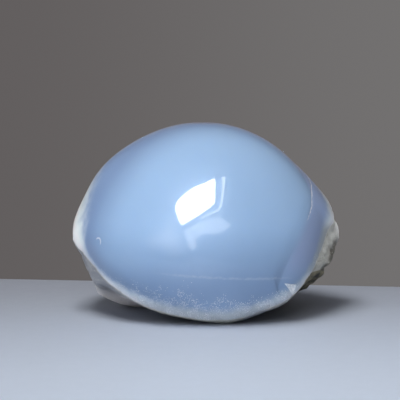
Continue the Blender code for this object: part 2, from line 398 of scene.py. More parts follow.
@dataclass(frozen=True)
class Stone:
    """The whole stone: one closed mesh with a polished and two rough materials."""

    face: FaceSizes = FaceSizes()
    back: BackSizes = BackSizes()
    fine: FineSizes = FineSizes()
    margin: MarginSizes = MarginSizes()
    chip: ChipSizes = ChipSizes()
    name: str = NODE + "_stone"
    cells: int = 126
    clean_distance: float = 0.00002
    cut_tolerance: float = 1.0e-7
    rim_tolerance: float = 1.0e-4

    def axes(self) -> Array:
        """Return the leaning rim's directions across, uphill and outward, one a row."""
        tilt = math.radians(self.face.rim_tilt)
        rise, run = math.sin(tilt), math.cos(tilt)
        return np.array([[1.0, 0.0, 0.0], [0.0, run, rise], [0.0, -rise, run]])

    def arc_length(self, angle: Array) -> Array:
        """Length along the dome of an angle at its centre."""
        return np.radians(angle) * self.face.dome_radius

    def dome_radius(self, height: Array) -> Array:
        """Distance to the plain dome.

        Args:
            height: Angle above the rim plane.

        Returns:
            The distance from the stone's centre.
        """
        face = self.face
        along, above = np.cos(np.radians(height)), np.sin(np.radians(height))
        spheroid = 1.0 / np.hypot(along / face.dome_radius, above / face.dome_height)
        return spheroid * (1.0 - face.dome_lean * face.lean_scale * above * along * along)

    def facet_radius(self, height: Array, rim: Array, edge: Array) -> Array:
        """Distance to the side facet, a nearly straight face from its edge to the rim.

        Args:
            height: Angle above the rim plane.
            rim: Distance to the rim at this turn.
            edge: Height angle of the facet's upper edge.

        Returns:
            The distance, which is the dome's above the edge.
        """
        top = self.dome_radius(edge)
        run = rim - top * np.cos(np.radians(edge))
        rise = top * np.sin(np.radians(edge))
        tangent = np.tan(np.radians(np.minimum(height, edge)))
        share = np.clip(rim * tangent / (rise + run * tangent), 0.0, 1.0)
        chord = np.hypot(rim - share * run, share * rise)
        bulged = chord * (1.0 + self.face.facet_bulge * share * (1.0 - share))
        return np.where(height >= edge, self.dome_radius(height), bulged)

    def swell(self, direction: Array, swellings: Swellings) -> Array:
        """Height of a set of faint swellings and hollows.

        Args:
            direction: Unit directions from the stone's centre.
            swellings: Middle direction, height and spread in degrees of each.

        Returns:
            The height in millimetres.
        """
        total = np.zeros(len(direction))
        for middle, height, spread in swellings:
            toward = np.array(middle) / np.linalg.norm(middle)
            total += height * bell(angle_from(direction, toward), spread)
        return total

    def lobe_share(self, direction: Array) -> Array:
        """How fully each direction lies on the smooth grey lobe at the left."""
        left = smooth_step(-direction[:, 0], *self.back.lobe_left)
        return left * smooth_fall(direction[:, 1], *self.back.lobe_front)

    def facet_share(self, around: Array) -> Array:
        """How fully the side facet is developed at each turn round the rim."""
        return plateau(around, self.face.facet_turns)

    def facet_edge(self, around: Array) -> Array:
        """Height angle of the facet's upper edge at each turn."""
        return np.maximum(ring_value(self.face.facet_edge, around), self.face.facet_least_edge)

    def face_radius(self, around: Array, height: Array) -> Array:
        """Distance to the polished face, with its margin drawn out to the rim.

        Args:
            around: Turn round the rim.
            height: Angle above the rim plane.

        Returns:
            The distance from the stone's centre.
        """
        rim = ring_value(self.face.rim, around)
        flare = (rim / self.face.dome_radius - 1.0) * bell(height, self.face.margin_spread)
        flared = self.dome_radius(height) * (1.0 + flare)
        faceted = self.facet_radius(height, rim, self.facet_edge(around))
        return flared + (faceted - flared) * self.facet_share(around)

    def bulk_radius(self, direction: Array) -> Array:
        """Distance to the rounded bulk of the rough back.

        Args:
            direction: Unit directions from the stone's centre.

        Returns:
            The distance.
        """
        back = self.back
        high = np.array([back.reach_right, back.reach_back, back.reach_up])
        low = np.array([back.reach_left, back.reach_front, back.reach_down])
        shares = np.abs(direction / np.where(direction > 0.0, high, low))
        return (shares**back.squareness).sum(axis=1) ** (-1.0 / back.squareness)

    def flat_radius(self, direction: Array) -> Array:
        """Distance to the bulk, planed down to its broken flats.

        Args:
            direction: Unit directions from the stone's centre.

        Returns:
            The distance.
        """
        radius = self.bulk_radius(direction)
        for heading, slope, distance in self.back.flats:
            facing = direction @ heading_vector(heading, slope)
            faced = facing > self.back.least_facing
            plane = distance / np.where(faced, facing, 1.0)
            radius = np.where(faced, soft_min(radius, plane, self.back.flat_blend), radius)
        return radius

    def ledge_share(self, direction: Array, radius: Array) -> Array:
        """How far each place lies below the ledge on the right, from 0 to 1."""
        heading = np.degrees(np.arctan2(direction[:, 1], direction[:, 0]))
        height = self.face.centre_height + radius * direction[:, 2]
        return plateau(heading, self.back.ledge_headings) * smooth_fall(height, *self.back.ledge_edge)

    def relief(self, direction: Array, radius: Array) -> Array:
        """Height of the lumps, bulbs and pits of the back, worn low underneath.

        Args:
            direction: Unit directions from the stone's centre.
            radius: Distance to the surface there.

        Returns:
            The height in millimetres.
        """
        back = self.back
        places = direction * radius[:, None]
        height = back.lumps.at(places) * back.lumps.height
        height += (back.bulb_middle - bulbs_at(places, back.bulb_size)) * back.bulb_height
        height += np.minimum(back.pits.at(places), 0.0) * back.pits.height
        height *= 1.0 + back.boldness * smooth_step(direction[:, 1], *back.bold_facing)
        wear = back.underside_wear * smooth_step(-direction[:, 2], *back.underside_steepness)
        return height * (1.0 - wear)

    def grain(self, direction: Array, radius: Array, depth: Array) -> Array:
        """Height of the back's fine grain and of the growth streaks beside the rim.

        Args:
            direction: Unit directions from the stone's centre.
            radius: Distance to the surface there.
            depth: Angle below the rim plane.

        Returns:
            The fine height in millimetres.
        """
        fine = self.fine
        places = direction * radius[:, None]
        height = fine.grain.at(places) * fine.grain.height
        height += fine.small_grain.at(places) * fine.small_grain.height
        height -= np.abs(fine.shards.at(places)) * fine.shards.height
        layers = places / fine.streak_length
        layers[:, 2] = depth * fine.streak_turns
        return height + fine.streaks.at(layers) * fine.streaks.height

    def rough_radius(self, around: Array, depth: Array, direction: Array) -> tuple[Array, Array]:
        """Distance to the rough back, which starts at the rim and swells to the bulk.

        Args:
            around: Turn round the rim.
            depth: Angle below the rim plane.
            direction: Unit directions from the stone's centre.

        Returns:
            The distance, and the height of the relief on it.
        """
        back = self.back
        rim = ring_value(self.face.rim, around)
        radius = self.flat_radius(direction)
        radius = radius - back.ledge_depth * self.ledge_share(direction, radius)
        knob = angle_from(direction, heading_vector(back.knob_heading, back.knob_slope))
        radius = radius + back.knob_height * bell(knob, back.knob_spread)
        radius += self.swell(direction, self.fine.back_touches)
        radius = rim + (radius - rim) * smooth_step(depth, 0.0, back.undercut_spread)
        relief = self.relief(direction, radius) * smooth_step(depth, 0.0, back.relief_fade)
        grain = self.grain(direction, radius, depth)
        grain *= smooth_step(depth, 0.0, back.relief_fade / 2.0)
        relief += grain * (1.0 - self.fine.lobe_calm * self.lobe_share(direction))
        return radius + relief, relief

    def nicks(self, places: Array, gap: Array, sugar: Array) -> Array:
        """Depth lost to nicks along the rim, and to crumbling where it is sugary.

        Args:
            places: Points in millimetres from the stone's centre.
            gap: Distance from the rim.
            sugar: Strength of the frosting.

        Returns:
            The depth in millimetres, never below 0.
        """
        fine = self.fine
        bite = np.clip(fine.nicks.at(places) - fine.nick_least, 0.0, None)
        crumble = 0.5 + 0.5 * fine.crumble.at(places)
        loss = fine.nicks.height * bite * bell(gap, fine.nick_spread)
        return loss + fine.crumble.height * crumble * sugar

    def sugar(self, places: Array, around: Array, gap: Array) -> Array:
        """Strength of the frosting, clustered in patches that thin out from the rim.

        Args:
            places: Points in millimetres from the stone's centre.
            around: Turn round the rim.
            gap: Distance from the rim.

        Returns:
            A value from 0 to 1 at each point.
        """
        margin = self.margin
        reach = gap / ring_value(margin.sugar_width, around)
        patch = smooth_step(margin.patches.at(places), *margin.patch_edge)
        patch = margin.patch_least + margin.patches.height * patch
        cluster = smooth_step(margin.clusters.at(places), *margin.cluster_edge)
        cluster = margin.cluster_least + margin.clusters.height * cluster
        return smooth_fall(reach, *margin.sugar_fade) * patch * cluster

    def grid(self) -> tuple[bpy.types.Mesh, Array]:
        """Make the gridded cube that the stone is rounded from.

        Returns:
            The cube's mesh, and its corners, one a row.
        """
        bm = bmesh.new()
        bmesh.ops.create_cube(bm, size=2.0)
        bmesh.ops.subdivide_edges(bm, edges=bm.edges[:], cuts=self.cells - 1, use_grid_fill=True)
        mesh = bpy.data.meshes.new(self.name)
        bm.to_mesh(mesh)
        bm.free()
        corners = np.empty(len(mesh.vertices) * 3)
        mesh.vertices.foreach_get("co", corners)
        return mesh, corners.reshape(-1, 3)

    def triangle_gap(self, places: Array) -> Array:
        """Signed distance to the chipped triangle low on the right, negative inside.

        Args:
            places: Points in millimetres.

        Returns:
            The distance at each point.
        """
        corners = [np.array(corner) for corner in self.chip.corners]
        facing = np.cross(corners[1] - corners[0], corners[2] - corners[0])
        facing /= np.linalg.norm(facing)
        gaps = [np.abs((places - corners[0]) @ facing) - self.chip.reach]
        for start, end in zip(corners, corners[1:] + corners[:1]):
            outward = np.cross(end - start, facing)
            gaps.append((places - start) @ (outward / np.linalg.norm(outward)))
        return np.max(gaps, axis=0)

    def zones(self, direction: Array, ledge: Array, around: Array, gap: Array) -> dict[Field, Array]:
        """Masks for the kinds of surface on the rough back.

        Args:
            direction: Unit directions from the stone's centre.
            ledge: How far each place lies below the ledge.
            around: Turn round the rim.
            gap: Distance from the rim.

        Returns:
            Each mask, from 0 to 1.
        """
        back = self.back
        turn_spread, gap_spread = back.knob_tip_spread
        knob = bell(around - back.knob_tip_turn, turn_spread)
        return {
            Field.LOBE: self.lobe_share(direction),
            Field.RIND: smooth_step(direction[:, 0], *back.rind_right) * (1.0 - ledge),
            Field.KNOB: knob * bell(gap - back.knob_tip_gap, gap_spread),
            Field.SEAM: plateau(gap, back.seam_gap) * plateau(around, back.seam_turns),
            Field.MATRIX: ledge,
        }

    def shape(self, direction: Array, around: Array, height: Array) -> tuple[Array, dict[Field, Array]]:
        """Find the surface in each direction, with its fields.

        Args:
            direction: Unit directions from the stone's centre.
            around: Turn round the rim.
            height: Angle above the rim plane.

        Returns:
            The points in millimetres, inside the solid's box, and the fields at them.
        """
        face, fine, margin = self.face, self.fine, self.margin
        above = height >= 0.0
        rough, relief = self.rough_radius(around, np.abs(height), direction)
        radius = np.where(above, self.face_radius(around, np.abs(height)), rough)
        gap = self.arc_length(np.abs(height))

        has_facet = above & (self.facet_share(around) > 0.5)
        crease = self.arc_length(height - self.facet_edge(around))
        crease = np.where(has_facet, crease, face.dome_radius)
        turned = smooth_step(around, *margin.facet_soft_turns)
        low, high = margin.facet_soft
        soft = low + (high - low) * turned
        facet = smooth_fall(crease / soft, *margin.facet_blur) * has_facet

        places = direction * radius[:, None]
        sugar = self.sugar(places, around, gap) * above
        pale = gap / ring_value(margin.pale_width, around)
        pale += margin.pale_wander.height * margin.pale_wander.at(places)
        radius -= self.nicks(places, gap, sugar)
        shoulders = self.swell(direction, fine.swellings)
        radius += shoulders * smooth_step(height, 0.0, fine.swelling_fade)
        crease_show = plateau(around, fine.crease_turns)
        line = self.arc_length(height - ring_value(fine.crease_line, around))
        line = np.where(above, line, face.dome_radius)
        radius -= fine.crease_depth * bell(line, fine.crease_spread) * crease_show
        radius -= fine.crease_round * bell(crease, soft) * (1.0 - turned) * has_facet

        origin = np.array([0.0, 0.0, face.centre_height])
        places = self.fit(direction * radius[:, None] + origin)
        facet *= smooth_step(places[:, 2], *margin.facet_fade)
        chip = self.triangle_gap(places)
        chipped = self.chip.depth * smooth_fall(chip, *self.chip.edge) * above
        places -= direction * chipped[:, None]
        ledge = self.ledge_share(direction, radius)
        return places, {
            Field.HEIGHT: height,
            Field.RIM_GAP: gap,
            Field.MARGIN: pale,
            Field.PALE_SHOW: ring_value(margin.pale_show, around),
            Field.SUGAR: sugar,
            Field.FACET: facet,
            Field.CREASE: line,
            Field.CREASE_SHOW: crease_show,
            Field.CHIP: chip,
            Field.RELIEF: relief,
            **self.zones(direction, ledge, around, gap),
        }

    def build(self) -> bpy.types.Object:
        """Round the grid into the stone, give it its fields, and cut its flat spot.

        Returns:
            The stone, at the origin, inside the solid's box, with no material yet.
        """
        mesh, corners = self.grid()
        spread = np.tan(corners * math.pi / 4.0)
        spread /= np.linalg.norm(spread, axis=1, keepdims=True)
        around = np.degrees(np.arctan2(spread[:, 1], spread[:, 0]))
        height = np.degrees(np.arcsin(np.clip(spread[:, 2], -1.0, 1.0)))
        places, fields = self.shape(spread @ self.axes(), around, height)
        mesh.vertices.foreach_set("co", (places * MM).ravel())
        for name, values in fields.items():
            layer = mesh.attributes.new(name.value, "FLOAT", "POINT")
            layer.data.foreach_set("value", values.astype(np.float32))
        self.cut_flat_spot(mesh)
        return place_object(self.name, mesh)

    def fit(self, places: Array) -> Array:
        """Move points to the solid's middle, and ease the outermost into its box.

        Args:
            places: Points in millimetres, with the table at z = 0.

        Returns:
            The points, all a hair's breadth inside the box.
        """
        low, high = (np.array(corner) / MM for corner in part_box(NODE))
        inset, ease = self.fine.box_inset, self.fine.box_ease
        fitted = places - np.array([*self.fine.middle, 0.0])
        for axis in range(3):
            over = np.clip(fitted[:, axis] - (high[axis] - inset - ease), 0.0, None)
            fitted[:, axis] += ease * np.tanh(over / ease) - over
            if axis < 2:
                under = np.clip(low[axis] + inset + ease - fitted[:, axis], 0.0, None)
                fitted[:, axis] += under - ease * np.tanh(under / ease)
        return fitted

    def cut_flat_spot(self, mesh: bpy.types.Mesh) -> None:
        """Cut the stone off level at z = 0, and sort its faces into their materials.

        Args:
            mesh: The stone's mesh, with its fields, which is changed in place.
        """
        bm = bmesh.new()
        bm.from_mesh(mesh)
        bmesh.ops.bisect_plane(
            bm, geom=bm.verts[:] + bm.edges[:] + bm.faces[:], dist=self.cut_tolerance,
            plane_co=(0.0, 0.0, 0.0), plane_no=(0.0, 0.0, -1.0), clear_outer=True,
        )
        open_edges = [edge for edge in bm.edges if edge.is_boundary]
        for edge in open_edges:
            edge.smooth = False
        base = bmesh.ops.contextual_create(bm, geom=open_edges)["faces"]
        bmesh.ops.triangulate(bm, faces=base)
        bmesh.ops.remove_doubles(bm, verts=bm.verts[:], dist=self.clean_distance)
        bmesh.ops.recalc_face_normals(bm, faces=bm.faces[:])
        for vert in bm.verts:
            vert.co.z = max(vert.co.z, 0.0)
        height = bm.verts.layers.float[Field.HEIGHT.value]
        lobe = bm.verts.layers.float[Field.LOBE.value]
        for edge in bm.edges:
            if all(abs(vert[height]) < self.rim_tolerance for vert in edge.verts):
                edge.smooth = False
        for face in bm.faces:
            polished = sum(vert[height] for vert in face.verts) > 0.0
            in_lobe = sum(vert[lobe] for vert in face.verts) > 0.5 * len(face.verts)
            side = Side.POLISHED if polished else Side.LOBE if in_lobe else Side.ROUGH
            face.material_index = side.value
            face.smooth = True
        bm.to_mesh(mesh)
        bm.free()


# Node trees


@dataclass(frozen=True)
class Clouds:
    """Soft noise for a finish: its lumps in a metre, its finer layers and their strength."""

    scale: Value
    detail: float = 2.0
    rough: float = 0.5


class Bench:
    """Adds and joins the nodes of one tree."""

    def __init__(self, tree: bpy.types.NodeTree) -> None:
        """Take the tree to work on."""
        self.tree = tree

    def feed(self, socket: Socket, value: Value) -> None:
        """Join another node's output to a socket, or set the socket's value."""
        if isinstance(value, bpy.types.NodeSocket):
            self.tree.links.new(value, socket)
        elif isinstance(value, tuple) and len(value) == 3 and socket.type == "RGBA":
            socket.default_value = (*value, 1.0)
        else:
            socket.default_value = value

    def fill(self, node: bpy.types.Node, inputs: dict[str | int, Value]) -> None:
        """Feed some of a node's inputs, by name or number."""
        for name, value in inputs.items():
            self.feed(node.inputs[name], value)

    def add(
        self, kind: str, inputs: dict[str | int, Value] | None = None, **settings: Value
    ) -> bpy.types.Node:
        """Add a node.

        Args:
            kind: The node's type name.
            inputs: Values or outputs for its inputs, by name or number.
            settings: The node's own options.

        Returns:
            The node.
        """
        node = self.tree.nodes.new(kind)
        for option, choice in settings.items():
            setattr(node, option, choice)
        self.fill(node, inputs or {})
        return node

    @cached_property
    def where(self) -> Socket:
        """The place on the object, in metres."""
        return self.add("ShaderNodeTexCoord").outputs["Object"]

    @cached_property
    def across_deep_high(self) -> tuple[Socket, ...]:
        """The three parts of the place on the object."""
        return self.parts(self.where)

    def parts(self, place: Value) -> tuple[Socket, ...]:
        """Return the three parts of a place."""
        return tuple(self.add("ShaderNodeSeparateXYZ", {0: place}).outputs)

    def field(self, name: Field) -> Socket:
        """Return one of the mesh's own fields."""
        return self.add("ShaderNodeAttribute", attribute_name=name.value).outputs["Fac"]

    def calc(self, operation: str, *values: Value, clamp: bool = False) -> Socket:
        """Return the result of a math node on up to three values."""
        node = self.add("ShaderNodeMath", dict(enumerate(values)), operation=operation, use_clamp=clamp)
        return node.outputs[0]

    def fold(self, operation: str, first: Value, *others: Value) -> Socket:
        """Return the result of a math node on values taken from left to right."""
        for other in others:
            first = self.calc(operation, first, other)
        return first

    def times(self, *values: Value) -> Socket:
        """Return the product of values."""
        return self.fold("MULTIPLY", *values)

    def most(self, *values: Value) -> Socket:
        """Return the largest of values."""
        return self.fold("MAXIMUM", *values)

    def flip(self, value: Value) -> Socket:
        """Return 1 less a value."""
        return self.calc("SUBTRACT", 1.0, value)

    def scaled(self, value: Value, gain: Value, offset: Value, clamp: bool = False) -> Socket:
        """Return a value times a gain, plus an offset."""
        return self.calc("MULTIPLY_ADD", value, gain, offset, clamp=clamp)

    def swing(self, value: Value, amount: float) -> Socket:
        """Return a value from 0 to 1 as a swing of an amount in all, half of it below 0."""
        return self.scaled(value, amount, -amount / 2.0)

    def step(self, value: Value, span: tuple[Value, Value]) -> Socket:
        """Return a smooth step, from 0 at a span's start to 1 at its end."""
        inputs = {"Value": value, "From Min": span[0], "From Max": span[1]}
        return self.add("ShaderNodeMapRange", inputs, interpolation_type="SMOOTHSTEP").outputs[0]

    def fall(self, value: Value, span: tuple[Value, Value]) -> Socket:
        """Return a smooth fall, from 1 at a span's start to 0 at its end."""
        return self.flip(self.step(value, span))

    def blend(self, share: Value, first: Value, second: Value) -> Socket:
        """Return a colour between two others."""
        return self.add("ShaderNodeMix", {0: share, 6: first, 7: second}, data_type="RGBA").outputs[2]

    def between(self, share: Value, first: Value, second: Value) -> Socket:
        """Return a number between two others."""
        return self.add("ShaderNodeMix", {0: share, 2: first, 3: second}, data_type="FLOAT").outputs[0]

    def ramp(self, value: Value, stops: Sequence[tuple[float, Colour]]) -> Socket:
        """Return a colour read from a ramp.

        Args:
            value: Where to read it.
            stops: The position and colour of each stop.

        Returns:
            The colour.
        """
        node = self.add("ShaderNodeValToRGB", {0: value})
        elements = node.color_ramp.elements
        elements.remove(elements[1])
        elements[0].position, elements[0].color = stops[0][0], (*stops[0][1], 1.0)
        for position, colour in stops[1:]:
            elements.new(position).color = (*colour, 1.0)
        return node.outputs[0]

    def clouds(self, place: Value, clouds: Clouds) -> Socket:
        """Return soft noise from 0 to 1 at a place."""
        inputs = {
            "Vector": place, "Scale": clouds.scale, "Detail": clouds.detail, "Roughness": clouds.rough,
        }
        return self.add("ShaderNodeTexNoise", inputs).outputs["Fac"]

    def cells(self, place: Value, scale: Value, output: str = "Distance") -> Socket:
        """Return one output of a cell pattern."""
        return self.add("ShaderNodeTexVoronoi", {"Vector": place, "Scale": scale}).outputs[output]

    def bump(self, height: Value, strength: float, distance: float) -> Socket:
        """Return the normal of a surface with a fine height on it."""
        inputs = {"Strength": strength, "Distance": distance, "Height": height}
        return self.add("ShaderNodeBump", inputs).outputs["Normal"]


class Paint(Bench):
    """The bench of one material, whose colour is laid on in coats."""

    def __init__(self, name: str, ground: Colour) -> None:
        """Make the material.

        Args:
            name: The material's name.
            ground: The colour under the first coat.
        """
        self.material = bpy.data.materials.new(name)
        self.material.use_nodes = True
        super().__init__(self.material.node_tree)
        self.colour = ground

    def coat(self, share: Value, colour: Value) -> None:
        """Lay a colour over the last one, as fully as a share from 0 to 1 says."""
        self.colour = self.blend(share, self.colour, colour)

    def finish(self, inputs: dict[str | int, Value]) -> bpy.types.Material:
        """Feed the shader the colour and its other inputs, and return the material."""
        self.fill(self.tree.nodes["Principled BSDF"], {"Base Color": self.colour, **inputs})
        return self.material


def cleared_bench(owner: bpy.types.Material | bpy.types.World) -> Bench:
    """Clear the nodes of a material or the world, and return a bench for them."""
    owner.use_nodes = True
    owner.node_tree.nodes.clear()
    return Bench(owner.node_tree)


def add_socket(
    tree: bpy.types.NodeTree, name: str, way: str, kind: str = "Float"
) -> bpy.types.NodeTreeInterfaceSocket:
    """Add one named INPUT or OUTPUT to a tree."""
    return tree.interface.new_socket(name, in_out=way, socket_type="NodeSocket" + kind)


class Group:
    """A shader node group that several finishes share."""

    def __init__(self, name: str, inputs: dict[str, float], outputs: Sequence[str]) -> None:
        """Make the group's tree and its sockets.

        Args:
            name: The group's name.
            inputs: Its inputs' names and usual values.
            outputs: Its outputs' names.
        """
        self.tree = bpy.data.node_groups.new(name, "ShaderNodeTree")
        for socket, value in inputs.items():
            add_socket(self.tree, socket, "INPUT").default_value = value
        for socket in outputs:
            add_socket(self.tree, socket, "OUTPUT")
        self.bench = Bench(self.tree)
        self.given = self.bench.add("NodeGroupInput").outputs
        self.end = self.bench.add("NodeGroupOutput")

    def into(self, bench: Bench, inputs: dict[str | int, Value]) -> bpy.types.Node:
        """Place the group in a finish, with that finish's own values."""
        return bench.add("ShaderNodeGroup", inputs, node_tree=self.tree)


@dataclass(frozen=True)
class SugarFrosting:
    """Frosting: scattered bright grains and a fine broken surface."""

    patches: Clouds = Clouds(420.0, 3.0, 0.65)
    patch_edge: Span = (0.34, 0.66)
    most_chosen: float = 0.6
    grain_edge: Span = (0.3, 0.5)
    dust: Clouds = Clouds(3800.0, 1.0)

    def group(self) -> Group:
        """Build the node group.

        Returns:
            The group, with Grains and Height outputs.
        """
        group = Group("sugar_frosting", {"Amount": 1.0, "Grain scale": 2600.0}, ("Grains", "Height"))
        bench, place = group.bench, group.bench.where
        amount, scale = group.given["Amount"], group.given["Grain scale"]
        pick = bench.add("ShaderNodeSeparateColor", {0: bench.cells(place, scale, "Color")}).outputs[0]
        patches = bench.step(bench.clouds(place, self.patches), self.patch_edge)
        chosen = bench.calc("LESS_THAN", pick, bench.times(amount, patches, self.most_chosen))
        grains = bench.times(chosen, bench.fall(bench.cells(place, scale), self.grain_edge))
        dust = bench.times(bench.clouds(place, self.dust), amount)
        bench.fill(group.end, {"Grains": grains, "Height": bench.calc("ADD", grains, dust)})
        return group


@dataclass(frozen=True)
class Mottle:
    """Clouding: broad soft light and dark in the stone."""

    detail: float = 4.0
    rough: float = 0.55

    def group(self) -> Group:
        """Build the node group.

        Returns:
            The group, with a Share output around 0.5.
        """
        group = Group("clouding", {"Scale": 60.0, "Contrast": 1.0}, ("Share",))
        bench = group.bench
        soft = bench.clouds(bench.where, Clouds(group.given["Scale"], self.detail, self.rough))
        swing = bench.times(bench.calc("SUBTRACT", soft, 0.5), group.given["Contrast"])
        bench.fill(group.end, {"Share": bench.calc("ADD", swing, 0.5, clamp=True)})
        return group


@dataclass(frozen=True)
class Hairline:
    """A thin wandering line where a distance passes through 0."""

    sway: Clouds = Clouds(700.0, 3.0)
    breaks: Clouds = Clouds(1100.0, 2.0)
    break_edge: Span = (0.3, 0.6)

    def group(self) -> Group:
        """Build the node group.

        Returns:
            The group, with a Line output.
        """
        inputs = {"Distance": 1.0, "Width": 0.2, "Wander": 0.1, "Breaks": 0.5}
        group = Group("hairline", inputs, ("Line",))
        bench, given = group.bench, group.given
        sway = bench.calc("SUBTRACT", bench.clouds(bench.where, self.sway), 0.5)
        moved = bench.scaled(sway, given["Wander"], given["Distance"])
        line = bench.fall(bench.calc("ABSOLUTE", moved), (0.0, given["Width"]))
        broken = bench.step(bench.clouds(bench.where, self.breaks), self.break_edge)
        kept = bench.between(given["Breaks"], 1.0, broken)
        bench.fill(group.end, {"Line": bench.times(line, kept)})
        return group


@dataclass(frozen=True)
class Line:
    """A thin line's width and wander in millimetres, and how broken it is, from 0 to 1."""

    width: float
    wander: float
    breaks: float


@dataclass(frozen=True)
class Effects:
    """The node groups that the finishes share."""

    sugar: Group
    mottle: Group
    hairline: Group

    def frosting(self, bench: Bench, amount: Value, grain_scale: float) -> tuple[Socket, Socket]:
        """Return the grains' mask and the height of the frosting."""
        node = self.sugar.into(bench, {"Amount": amount, "Grain scale": grain_scale})
        return node.outputs["Grains"], node.outputs["Height"]

    def clouding(self, bench: Bench, scale: float, contrast: float) -> Socket:
        """Return a soft share around 0.5."""
        return self.mottle.into(bench, {"Scale": scale, "Contrast": contrast}).outputs["Share"]

    def line(self, bench: Bench, distance: Value, line: Line) -> Socket:
        """Return the mask of a thin line where a distance in millimetres passes through 0."""
        inputs = {"Distance": distance, "Width": line.width, "Wander": line.wander, "Breaks": line.breaks}
        return self.hairline.into(bench, inputs).outputs["Line"]


# Finishes


@dataclass(frozen=True)
class PolishedFace:
    """Milky-blue polished chalcedony with a pale, frosted margin; its colour also holds painted shade, a
    painted glow in the margin and painted glints along the crease.
    """

    upper_blue: Colour = (0.355, 0.53, 0.78)
    # Painted shade: the body blue is darker low down on the face.
    low_shade_blue: Colour = (0.174, 0.272, 0.448)
    low_shade_rise: Span = (0.008, 0.030)
    cloud_scale: float = 55.0
    cloud_show: float = 0.16
    # Painted shade: a darker purple-blue towards the back and the left of the dome, where it turns from the
    # light.
    back_shade_violet: Colour = (0.225, 0.333, 0.555)
    back_shade_slant: float = -0.28
    back_shade_reach: Span = (-0.020, -0.003)
    back_shade_show: float = 0.92
    # Painted shade: the facet on the right is darker and greyer, as it faces away from the light.
    facet_shade_grey: Colour = (0.285, 0.365, 0.57)
    facet_shade_show: float = 0.9

    # Partly the rim's own paler, frosted colour and partly a painted glow of light shining through the thin
    # edge, strongest at the left.
    pale_and_glow_tints: Sequence[tuple[float, Colour]] = (
        (0.0, (0.92, 0.88, 0.91)), (0.2, (0.90, 0.94, 0.97)), (0.42, (0.75, 0.85, 0.90)),
        (0.72, (0.52, 0.62, 0.76)), (1.0, (0.35, 0.47, 0.69)),
    )
    pale_edge: Span = (0.3, 1.1)
    wisps: Clouds = Clouds(620.0, 3.0, 0.6)
    wisp_show: float = 0.24
    right_tint: Colour = (0.40, 0.445, 0.45)
    right_show: float = 0.85
    right_top: Span = (0.0235, 0.026)
    right_top_loss: float = 0.6
    bottom_tint: Colour = (0.45, 0.48, 0.48)
    bottom_top: Span = (0.003, 0.009)
    bottom_show: float = 0.9
    edge_white: Colour = (0.80, 0.83, 0.85)
    edge_line: Line = Line(0.55, 0.7, 0.7)
    edge_gain: Span = (1.2, -0.15)
    edge_right_top: Span = (0.022, 0.027)
    edge_bottom_loss: float = 0.8

    sugar_white: Colour = (0.93, 0.96, 1.0)
    sugar_gain: float = 2.3
    sugar_scale: float = 5000.0
    sugar_show: float = 0.8
    # Near white: the crescent's own colour, and along the crease both its chips and a painted glint.
    chip_and_glint_white: Colour = (0.97, 0.98, 1.0)
    crease_line: Line = Line(0.31, 0.8, 0.8)
    arc_line: Line = Line(0.34, 0.2, 0.0)
    arc_middle: Corner = (-0.0318, -0.0204, 0.0221)
    arc_radius: float = 1.25
    arc_side: Span = (-0.0002, 0.0009)
    arc_show: float = 0.6
    chip_blue: Colour = (0.78, 0.83, 0.88)
    chip_edge: Span = (-0.35, 0.05)
    flakes: Clouds = Clouds(1500.0, 2.0)
    flake_edge: Span = (0.35, 0.65)
    flake_show: Span = (0.45, 1.0)
    band_line: Line = Line(0.55, 0.9, 0.6)
    band_height: float = 0.0140
    band_slant: float = 0.065
    band_deep: Span = (-0.029, -0.024)
    band_across: Span = (-0.018, -0.004)
    band_show: float = 0.11

    gloss: float = 0.045
    frosted: float = 0.42
    pale_dull: float = 0.35
    sugar_dull: float = 0.9
    scuffs: Clouds = Clouds(900.0, 2.0)
    scuff_height: float = 0.02
    bump: Span = (0.6, 0.00012)
    glow: float = 0.35
    glow_reach: float = 0.0035
    glow_tint: Colour = (0.75, 0.9, 1.0)
    haze: float = 0.3
    haze_roughness: float = 0.34

    def lay_blue(self, paint: Paint, effects: Effects) -> None:
        """Lay the body's blue, with painted shade: darker low down, purple-blue far back and on the left,
        and greyer on the facet.

        Args:
            paint: The material's bench.
            effects: The shared node groups.
        """
        across, deep, high = paint.across_deep_high
        cloud = paint.swing(effects.clouding(paint, self.cloud_scale, 1.0), self.cloud_show)
        # Painted shade: the blue darkens low down, towards the ground colour.
        level = paint.calc("ADD", paint.step(high, self.low_shade_rise), cloud, clamp=True)
        paint.coat(level, self.upper_blue)
        # Painted shade, purple-blue, towards the back and the left.
        away = paint.scaled(across, self.back_shade_slant, deep)
        paint.coat(paint.times(paint.step(away, self.back_shade_reach), self.back_shade_show), self.back_shade_violet)
        # Painted shade on the facet.
        paint.coat(paint.times(paint.field(Field.FACET), self.facet_shade_show), self.facet_shade_grey)

    def lay_margin(self, paint: Paint, effects: Effects) -> tuple[Socket, Socket]:
        """Lay the pale margin, partly the rim's own frosted colour and partly a painted glow of light
        through the thin edge, and the bright line along the rim.

        Args:
            paint: The material's bench.
            effects: The shared node groups.

        Returns:
            The masks of the margin and of the line.
        """
        high = paint.across_deep_high[2]
        wisps = paint.swing(paint.clouds(paint.where, self.wisps), self.wisp_show)
        margin = paint.calc("ADD", paint.field(Field.MARGIN), wisps)
        show = paint.field(Field.PALE_SHOW)
        pale = paint.times(paint.fall(margin, self.pale_edge), show)
        right = paint.times(paint.field(Field.RIND), self.right_show)
        bottom = paint.fall(high, self.bottom_top)
        top = paint.scaled(paint.step(high, self.right_top), -self.right_top_loss, 1.0)
        # Pale margin: own frosted colour with a painted glow of light through the edge.
        tint = paint.ramp(margin, self.pale_and_glow_tints)
        tint = paint.blend(paint.times(right, top), tint, self.right_tint)
        tint = paint.blend(paint.times(bottom, self.bottom_show), tint, self.bottom_tint)
        paint.coat(pale, tint)

